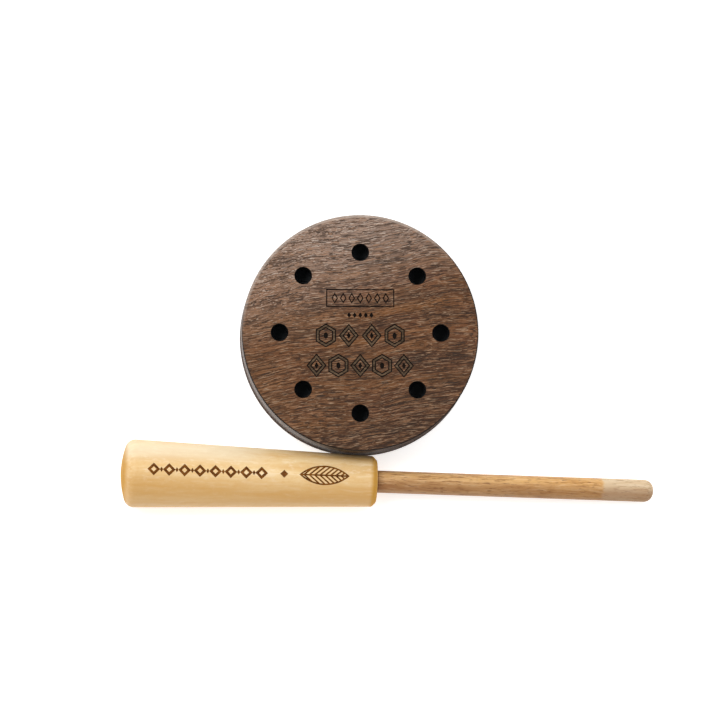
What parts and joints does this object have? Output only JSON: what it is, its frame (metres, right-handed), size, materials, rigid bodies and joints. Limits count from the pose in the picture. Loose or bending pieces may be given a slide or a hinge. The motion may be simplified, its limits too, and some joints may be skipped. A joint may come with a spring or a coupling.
{
  "type": "pot turkey call",
  "caption": "Round turned wooden friction turkey call lying with its ring of sound holes up, beside its tapered striker with a slim dowel tip.",
  "frame": {"origin": "centre of the plane of the pot's playing-side rim, on which the pot lies", "axes": "+Z is the pot's axis, up from the playing side to the sound-hole face; +X runs along the striker from butt to tip, to within 1.6 degrees; -Y points from the pot to the striker"},
  "size_m": [0.2008, 0.1094, 0.0256],
  "materials": {
    "walnut": "open-grained walnut, thin satin finish, laser-cut ornament",
    "slate": "fine-ground slate, dull",
    "maple": "varnished maple with a burnt ornament",
    "hickory": "varnished hickory with a bare sanded tip",
    "adhesive": "cured amber-white glue"
  },
  "bodies": {
    "pot": {"pot_body": "walnut", "playing_surface": "slate", "surface_adhesive": "adhesive", "sound_board": "slate", "sound_board_adhesive": "adhesive"},
    "striker": {"striker_handle": "maple", "striker_dowel": "hickory", "dowel_adhesive": "adhesive"}
  },
  "joints": [
    {"name": "striker_lift", "type": "slide", "parent": "pot", "child": "striker", "axis": [0, 0, 1], "range_m": [0, 0.06]}
  ]
}
